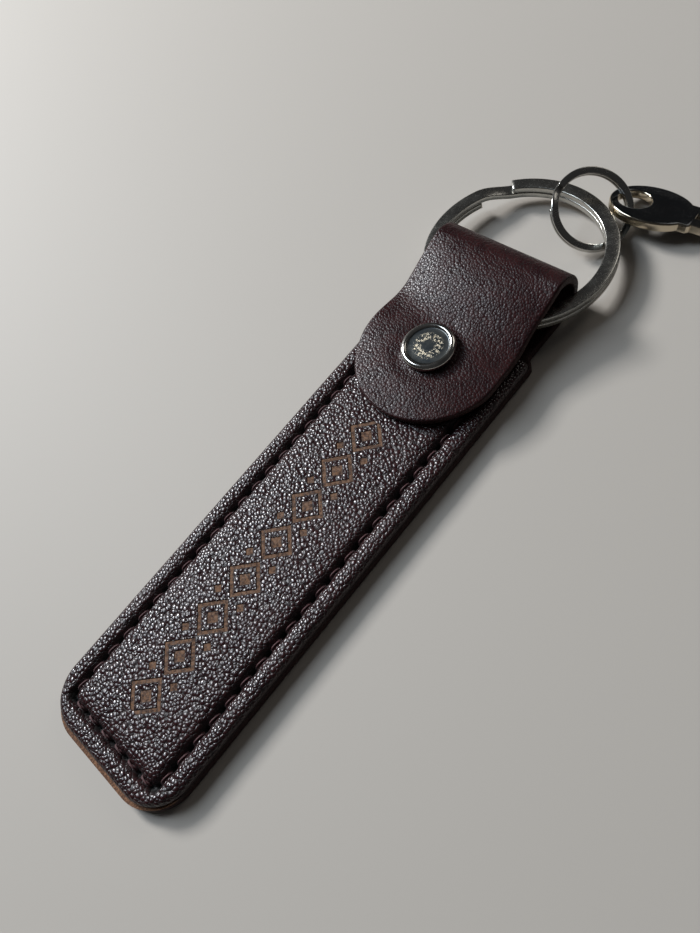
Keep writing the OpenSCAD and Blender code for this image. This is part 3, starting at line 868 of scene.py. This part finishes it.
def stitchTree():
    # each edge of the mesh becomes one twisted two-ply stitch whose ends dive into the holes
    tree = bpy.data.node_groups.new("twistedStitches", "GeometryNodeTree")
    face = tree.interface
    face.new_socket("Geometry", in_out="INPUT", socket_type="NodeSocketGeometry")
    for label in ("Thread thickness", "End dip", "Twist"):
        face.new_socket(label, in_out="INPUT", socket_type="NodeSocketFloat")
    face.new_socket("Thread", in_out="INPUT", socket_type="NodeSocketMaterial")
    face.new_socket("Geometry", in_out="OUTPUT", socket_type="NodeSocketGeometry")
    given = tree.nodes.new("NodeGroupInput").outputs
    curve = addNode(tree, "GeometryNodeMeshToCurve", {"Mesh": given["Geometry"]})
    finer = addNode(tree, "GeometryNodeResampleCurve", {"Curve": curve.outputs["Curve"], "Count": 11})
    along = addNode(tree, "GeometryNodeSplineParameter").outputs["Factor"]
    fromMiddle = calc(tree, "ABSOLUTE", minus(tree, times(tree, along, 2.0), 1.0))
    drop = times(tree, calc(tree, "POWER", fromMiddle, 3.2), given["End dip"])
    down = addNode(tree, "ShaderNodeCombineXYZ", {2: times(tree, drop, -1.0)})
    sagged = addNode(tree, "GeometryNodeSetPosition",
                     {"Geometry": finer.outputs[0], "Offset": down.outputs[0]})
    turned = addNode(tree, "GeometryNodeSetCurveTilt",
                     {"Curve": sagged.outputs[0], "Tilt": times(tree, along, given["Twist"])})
    ply = times(tree, given["Thread thickness"], 0.29)
    circle = addNode(tree, "GeometryNodeCurvePrimitiveCircle", {"Resolution": 7, "Radius": ply})
    plies = []
    for side in (-1.0, 1.0):
        offset = addNode(tree, "ShaderNodeCombineXYZ",
                         {0: times(tree, given["Thread thickness"], 0.22 * side)})
        moved = addNode(tree, "GeometryNodeTransform",
                        {"Geometry": circle.outputs["Curve"], "Translation": offset.outputs[0]})
        plies.append(moved.outputs[0])
    pair = addNode(tree, "GeometryNodeJoinGeometry")
    for one in plies:
        tree.links.new(one, pair.inputs[0])
    swept = addNode(tree, "GeometryNodeCurveToMesh",
                    {"Curve": turned.outputs[0], "Profile Curve": pair.outputs[0], "Fill Caps": True})
    smooth = addNode(tree, "GeometryNodeSetShadeSmooth", {"Geometry": swept.outputs[0]})
    real = addNode(tree, "GeometryNodeRealizeInstances", {"Geometry": smooth.outputs[0]})
    painted = addNode(tree, "GeometryNodeSetMaterial",
                      {"Geometry": real.outputs[0], "Material": given["Thread"]})
    out = tree.nodes.new("NodeGroupOutput")
    tree.links.new(painted.outputs[0], out.inputs[0])
    return tree


def bakeNodes(obj, tree, values, name):
    # runs the tree on obj and keeps the result as a plain mesh
    modifier = obj.modifiers.new("stitches", "NODES")
    modifier.node_group = tree
    for item in tree.interface.items_tree:
        if item.item_type == "SOCKET" and item.in_out == "INPUT" and item.name in values:
            modifier[item.identifier] = values[item.name]
    bpy.context.view_layer.update()
    evaluated = obj.evaluated_get(bpy.context.evaluated_depsgraph_get())
    mesh = bpy.data.meshes.new_from_object(evaluated)
    obj.modifiers.clear()
    made = bpy.data.objects.new(name, mesh)
    bpy.context.scene.collection.objects.link(made)
    bpy.data.objects.remove(obj)
    return made


def makeStitches():
    tree = stitchTree()
    for name, s in stitchSet.items():
        points, edges = [], []
        for k, (a, b) in enumerate(stitchList):
            long = math.dist(a, b)
            cut = s["shorten"] / long
            wobble = wobbleSet["wide"] * math.sin(k * wobbleSet["turn"])
            aside = ((b[1] - a[1]) / long * wobble, -(b[0] - a[0]) / long * wobble)
            for t in (cut, 1 - cut):
                x, y = (mix(a[c], b[c], t) + aside[c] for c in (0, 1))
                points.append((x * mm, y * mm, s["height"] * mm))
            edges.append((len(points) - 2, len(points) - 1))
        mesh = bpy.data.meshes.new(name + "Path")
        mesh.from_pydata(points, edges, [])
        guide = bpy.data.objects.new(name + "Path", mesh)
        bpy.context.scene.collection.objects.link(guide)
        made = bakeNodes(guide, tree, {"Thread thickness": s["thick"] * mm, "End dip": s["dip"] * mm,
                                       "Twist": s["twist"], "Thread": thread}, name + "Stitches")
        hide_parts(s["node"])
        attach(made, "fob")


makeStitches()
print("stage: stitches ready")


capSet = {
    "centre": (0.0, 28.2), "base": 6.4, "turns": 112,
    # (radius, height over the flap) from the post's end round the rim to the middle of the disc
    "profile": [(0, -2.05), (1.9, -2.05), (1.9, -1.86), (1.4, -1.86), (1.4, -0.05), (3.9, -0.05),
                (4.15, 0.04), (4.36, 0.24), (4.44, 0.5), (4.45, 0.72), (4.40, 0.96), (4.26, 1.18),
                (4.06, 1.32), (3.84, 1.37), (3.64, 1.33), (3.5, 1.22), (3.43, 1.1), (3.38, 1.04),
                (3.25, 1.02), (2.6, 1.05), (1.6, 1.08), (0.8, 1.09), (0, 1.09)],
}


def makeSnapCap():
    s = capSet
    n = s["turns"]
    cx, cy = s["centre"]
    points, faces, rows = [], [], []
    for r, z in s["profile"]:
        rows.append((len(points), r))
        for k in range(n if r else 1):
            a = 2 * math.pi * k / n
            points.append((cx + r * math.cos(a), cy + r * math.sin(a), s["base"] + z))
    for (a, ra), (b, rb) in zip(rows, rows[1:]):
        for k in range(n):
            k2 = (k + 1) % n
            if ra == 0:
                faces.append((a, b + k2, b + k))
            elif rb == 0:
                faces.append((a + k, a + k2, b))
            else:
                faces.append((a + k, a + k2, b + k2, b + k))
    cap = faceOutwards(buildMesh("snapCap", points, faces, capMetal))
    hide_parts("snap_cap")
    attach(cap, "flap")


makeSnapCap()
print("stage: snap cap ready")


ringSet = {
    "big": {"node": "big_split_ring", "body": "big_ring", "slot": "big_ring_metal",
            "outside": 32.0, "wide": 2.3, "coil": 1.15, "split": 40, "gap": 23, "round": 0.2, "play": 0.02,
            "centre": (-0.6, 52.5769, 3.65), "u": (1, 0, 0), "w": (0, 0.99863, -0.052336),
            "n": (0, 0.052336, 0.99863)},
    "small": {"node": "small_split_ring", "body": "small_ring", "slot": "small_ring_metal",
              "outside": 14.0, "wide": 1.2, "coil": 0.65, "split": 200, "gap": 34, "round": 0.18,
              "play": 0.015, "centre": (5.21067, 64.8346, 4.38761), "u": (-0.275637, -0.961262, 0),
              "w": (0.806182, -0.231169, -0.544639), "n": (0.523541, -0.150123, 0.838671)},
}
wireSet = {"turnCount": 150, "stepCount": 22, "tipShrink": 0.82, "tipTurn": 0.35}


def makeSplitRing(name, s, material):
    radius = (s["outside"] - s["wide"]) / 2
    low, high = 90 + s["split"], 90 + s["split"] + s["gap"]
    angles = []
    turnCount, stepCount = wireSet["turnCount"], wireSet["stepCount"]
    # one turn on the upper level, the step down between the levels, and one turn on the lower
    for start, end, count in ((low + 360, high, turnCount), (high, low, stepCount),
                              (low, high - 360, turnCount)):
        angles += [mix(start, end, i / count) for i in range(count)]
    angles.append(high - 360)
    halfW, halfT, rr = s["wide"] / 2, s["coil"] / 2 - s["play"], s["round"]
    section = []
    for cx, cz, a0 in ((1, 1, 0), (-1, 1, 90), (-1, -1, 180), (1, -1, 270)):
        for k in range(4):
            section.append(onArc(cx * (halfW - rr), cz * (halfT - rr), rr, a0 + 30 * k))
    centre, u, w, n = (Vector(s[k]) for k in ("centre", "u", "w", "n"))
    points = []

    def addSection(angle, scale, shift):
        level = s["coil"] / 2 * (2 * soft((angle - low) / (high - low)) - 1)
        if angle > high:
            level = s["coil"] / 2
        a = math.radians(angle + shift)
        outward = u * math.cos(a) + w * math.sin(a)
        for dr, dz in section:
            p = centre + outward * (radius + dr * scale) + n * (level + dz * scale)
            points.append(tuple(p))

    # the wire's two ends are a little rounded
    shrink, tipTurn = wireSet["tipShrink"], wireSet["tipTurn"]
    addSection(angles[0], shrink, 0.0)
    addSection(angles[0], 1.0, -tipTurn)
    for angle in angles[1:-1]:
        addSection(angle, 1.0, 0.0)
    addSection(angles[-1], 1.0, tipTurn)
    addSection(angles[-1], shrink, 0.0)
    ring = faceOutwards(buildMesh(name, points, sweepFaces(len(angles) + 2, len(section)), material))
    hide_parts(s["node"])
    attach(ring, s["body"])


makeSplitRing("bigSplitRing", ringSet["big"], ringMetal)
makeSplitRing("smallSplitRing", ringSet["small"], smallRingMetal)
print("stage: split rings ready")


keySet = {
    "place": (9.59776, 70.4032, 2.64575), "turn": (-17.5, 2.28762, 6.0),
    "bowAt": 2.95, "bowLong": 14.0, "bowWide": 10.8, "thick": 1.6, "hole": 5.4, "bevel": 0.34,
    "shoulderAt": 10.25, "shoulderHalf": 3.2, "shoulderCut": 0.4,
    "bladeFrom": 9.6, "bladeHalf": 2.5, "tip": 29.25, "tipLong": 2.1, "groove": 0.28, "bladeCount": 150,
    "cuts": ((14.05, 0.85), (17.28, 1.27), (20.51, 0.71), (23.74, 1.13)), "cutHalf": 0.35,
    "weld": 0.0000005, "sharp": 32, "rimGlintWide": 0.1,
}


def makeKey():
    s = keySet
    a, b = s["bowLong"] / 2, s["bowWide"] / 2
    open0 = math.asin(s["shoulderHalf"] / b)
    outline = [(s["bowAt"] + a * math.cos(t), b * math.sin(t))
               for t in (mix(open0, 2 * math.pi - open0, i / 90) for i in range(91))]
    sa, sh, cut = s["shoulderAt"], s["shoulderHalf"], s["shoulderCut"]
    outline += [(sa - cut, -sh), (sa, -sh + cut), (sa, sh - cut), (sa - cut, sh)]
    hole = [onArc(0, 0, s["hole"] / 2, -360 * i / 56) for i in range(56)]
    data = bpy.data.curves.new("keyBow", "CURVE")
    data.dimensions = "2D"
    data.fill_mode = "BOTH"
    data.bevel_depth = s["bevel"] * mm
    data.bevel_resolution = 4
    data.offset = -s["bevel"] * mm
    data.extrude = (s["thick"] / 2 - s["bevel"]) * mm
    for line in (outline, hole):
        spline = data.splines.new("POLY")
        spline.points.add(len(line) - 1)
        spline.use_cyclic_u = True
        for point, (x, y) in zip(spline.points, line):
            point.co = (x * mm, y * mm, 0, 1)
    bow = bpy.data.objects.new("keyBow", data)
    bpy.context.scene.collection.objects.link(bow)
    bpy.context.view_layer.update()
    bowMesh = bpy.data.meshes.new_from_object(bow.evaluated_get(bpy.context.evaluated_depsgraph_get()))
    bpy.data.objects.remove(bow)
    # blade: a grooved section carried along X, with its lower edge cut to the bitting
    half, t = s["bladeHalf"], s["thick"] / 2 - 0.04
    g = s["groove"] * s["thick"]
    section = [(-half + 0.15, -t), (-1.62, -t), (-1.42, -t + g), (-0.1, -t + g), (0.1, -t), (half - 0.15, -t),
               (half, -t + 0.15), (half, t - 0.15), (half - 0.15, t), (1.12, t), (0.92, t - g), (-0.4, t - g),
               (-0.6, t), (-half + 0.15, t), (-half, t - 0.15), (-half, -t + 0.15)]
    count = s["bladeCount"]
    points = []
    for k in range(count + 1):
        x = s["bladeFrom"] + (s["tip"] - s["bladeFrom"]) * k / count
        low = max([-half] + [-half + deep - max(0.0, abs(x - at) - s["cutHalf"]) for at, deep in s["cuts"]])
        nose = max(0.0, x - (s["tip"] - s["tipLong"])) * 0.86
        points += [(x, min(max(y, low + nose * 0.9), half - nose), z) for y, z in section]
    key = buildMesh("pocketKey", points, sweepFaces(count + 1, len(section)), keyMetal)
    faceOutwards(key, s["weld"])
    faceOutwards(key, s["weld"], bowMesh)
    # mask of the rim and sides, where the warm reflection is painted
    rimGlint = [soft((s["thick"] / 2 - 0.02 - abs(v.co.z) / mm) / s["rimGlintWide"]) for v in key.data.vertices]
    key.data.attributes.new("rimGlint", "FLOAT", "POINT").data.foreach_set("value", rimGlint)
    roll, pitch, yaw = (math.radians(v) for v in s["turn"])
    turn = Matrix.Rotation(yaw, 4, "Z") @ Matrix.Rotation(pitch, 4, "Y") @ Matrix.Rotation(roll, 4, "X")
    key.data.transform(Matrix.Translation(Vector(s["place"]) * mm) @ turn)
    key.data.polygons.foreach_set("use_smooth", [True] * len(key.data.polygons))
    key.data.set_sharp_from_angle(angle=math.radians(s["sharp"]))
    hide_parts("key")
    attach(key, "key")


makeKey()
print("stage: key ready")


for nodeName, material in (("fibre_board", board), ("back_rivet", snapMetal), ("snap_stud", snapMetal),
                           ("snap_socket", snapMetal), ("socket_spring", springMetal)):
    kept = nodes[nodeName]
    kept.data.materials.clear()
    kept.data.materials.append(material)


floorSet = {"color": (0.495, 0.455, 0.408), "rough": 0.7, "half": 1500, "drop": 0.03}


def makeFloor():
    material, tree, shader = newMaterial("paleFloor")
    setInputs(tree, shader, {"Base Color": floorSet["color"], "Roughness": floorSet["rough"]})
    half, low = floorSet["half"], -floorSet["drop"]
    corners = [(-half, -half, low), (half, -half, low), (half, half, low), (-half, half, low)]
    floor = buildMesh("floor", corners, [(0, 1, 2, 3)], material)


makeFloor()
makeLights()
makeCamera()
print("stage: set ready")
